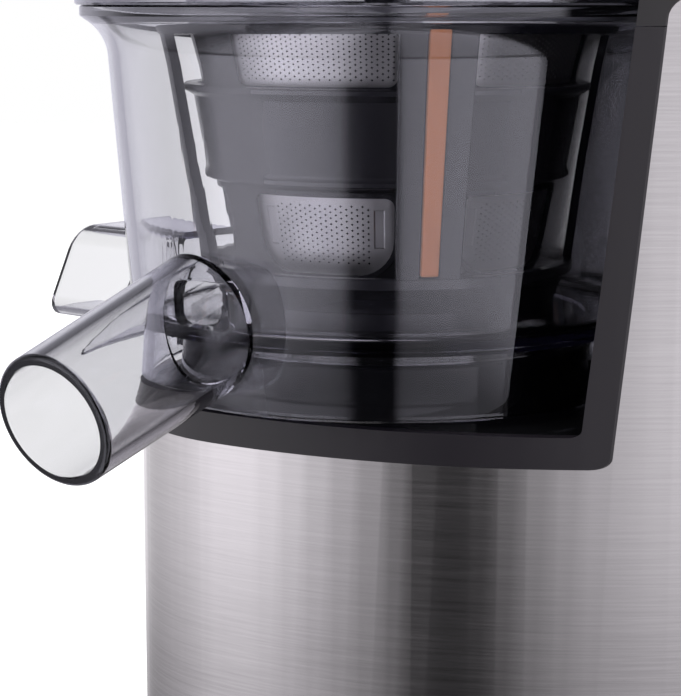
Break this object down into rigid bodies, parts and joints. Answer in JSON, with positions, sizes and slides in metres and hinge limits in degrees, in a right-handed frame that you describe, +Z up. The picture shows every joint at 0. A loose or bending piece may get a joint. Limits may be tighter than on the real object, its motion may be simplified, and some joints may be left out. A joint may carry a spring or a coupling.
{
  "type": "cold press juicer",
  "caption": "Upright slow juicer: brushed steel motor base with rear tower, smoked bowl with juice spout and pulp chute, strainer, turning wiper, auger, lid and pusher.",
  "frame": {"origin": "on the drive axis, which is the bowl's centre line, at the plane the rubber foot ring stands on", "axes": "+Z up along the drive axis, -Y to the front where the bowl is, +Y to the tower behind it, +X to the right where the juice spout leans"},
  "size_m": [0.1871, 0.2762, 0.397],
  "materials": {
    "brushed_steel": "fine horizontal brushing",
    "satin_black": "satin moulded",
    "gloss_black": "high gloss",
    "base_black": "fine texture",
    "smoked_clear": "clear smoked plastic",
    "strainer_grey": "satin moulded",
    "perforated_steel": "perforated sheet",
    "wiper_grey": "satin moulded",
    "silicone_orange": "soft matt",
    "silicone_clear": "soft matt",
    "black_rubber": "matt",
    "auger_black": "semi gloss",
    "lamination_steel": "stamped sheet",
    "copper_winding": "enamelled wire",
    "machined_steel": "machined",
    "zinc_metal": "die cast",
    "bronze": "sintered",
    "gear_plastic": "moulded acetal",
    "gear_case": "glass filled",
    "board_green": "coated",
    "knob_black": "satin moulded"
  },
  "bodies": {
    "base": {"steel_shell": "brushed_steel", "trim_frame": "satin_black", "inner_housing": "gloss_black", "tower_cap": "gloss_black", "base_plate": "base_black", "foot_ring": "black_rubber", "base_screws": "machined_steel", "motor_core": "lamination_steel", "motor_windings": "copper_winding", "motor_bracket_lower": "zinc_metal", "motor_bracket_upper": "zinc_metal", "motor_bearings": "bronze", "motor_studs": "machined_steel", "gearbox_case": "gear_case", "gearbox_cover": "gear_case", "gearbox_screws": "machined_steel", "gear_bushes": "bronze", "shaft_seal": "black_rubber", "run_capacitor": "gear_plastic", "control_board": "board_green", "selector_switch": "base_black", "lid_sensor": "gear_plastic", "cord_inlet": "black_rubber"},
    "rotor": {"rotor": "lamination_steel", "motor_pinion": "machined_steel", "cooling_fan": "gear_case"},
    "countershaft": {"countershaft": "machined_steel", "countershaft_gear": "gear_plastic"},
    "drive": {"drive_shaft": "machined_steel", "output_gear": "machined_steel"},
    "knob": {"selector_knob": "knob_black"},
    "bowl": {"juicing_bowl": "smoked_clear", "juice_spout": "smoked_clear", "pulp_chute": "smoked_clear", "bowl_seal": "silicone_clear", "pulp_seal": "silicone_orange", "strainer_frame": "strainer_grey", "strainer_mesh": "perforated_steel", "idler_pin": "machined_steel"},
    "idler": {"idler_gear": "gear_plastic"},
    "wiper": {"wiper_frame": "wiper_grey", "wiper_blades": "silicone_orange"},
    "auger": {"auger": "auger_black", "auger_socket": "machined_steel"},
    "lid": {"lid": "smoked_clear", "lid_gasket": "silicone_clear", "lid_magnet": "zinc_metal"},
    "pusher": {"pusher": "satin_black", "pusher_ring": "black_rubber"}
  },
  "joints": [
    {"name": "drive_spin", "type": "hinge", "parent": "base", "child": "drive", "pos_m": [0, 0, 0.14], "axis": [0, 0, 1], "continuous": true},
    {"name": "countershaft_spin", "type": "hinge", "parent": "base", "child": "countershaft", "pos_m": [0.01005, 0.03457, 0.14], "axis": [0, 0, 1], "continuous": true},
    {"name": "rotor_spin", "type": "hinge", "parent": "base", "child": "rotor", "pos_m": [0, 0.066, 0.08], "axis": [0, 0, 1], "continuous": true},
    {"name": "knob_turn", "type": "hinge", "parent": "base", "child": "knob", "pos_m": [0, 0.1615, 0.242], "axis": [0, 1, 0], "range_deg": [-45, 45]},
    {"name": "bowl_lift", "type": "slide", "parent": "base", "child": "bowl", "axis": [0, 0, 1], "range_m": [0, 0.12]},
    {"name": "auger_spin", "type": "hinge", "parent": "bowl", "child": "auger", "pos_m": [0, 0, 0.22], "axis": [0, 0, 1], "continuous": true},
    {"name": "idler_spin", "type": "hinge", "parent": "bowl", "child": "idler", "pos_m": [0.01478, 0.01891, 0.193], "axis": [0, 0, 1], "continuous": true},
    {"name": "wiper_spin", "type": "hinge", "parent": "bowl", "child": "wiper", "pos_m": [0, 0, 0.22], "axis": [0, 0, 1], "continuous": true},
    {"name": "lid_lift", "type": "slide", "parent": "bowl", "child": "lid", "axis": [0, 0, 1], "range_m": [0, 0.1]},
    {"name": "pusher_slide", "type": "slide", "parent": "lid", "child": "pusher", "axis": [0, 0, 1], "range_m": [0, 0.1]}
  ],
  "couplings": [
    {"joint": "countershaft_spin", "follows": "drive_spin", "ratio": -5},
    {"joint": "rotor_spin", "follows": "drive_spin", "ratio": 22.5},
    {"joint": "auger_spin", "follows": "drive_spin", "ratio": 1},
    {"joint": "idler_spin", "follows": "drive_spin", "ratio": -0.66667},
    {"joint": "wiper_spin", "follows": "drive_spin", "ratio": -0.25}
  ]
}
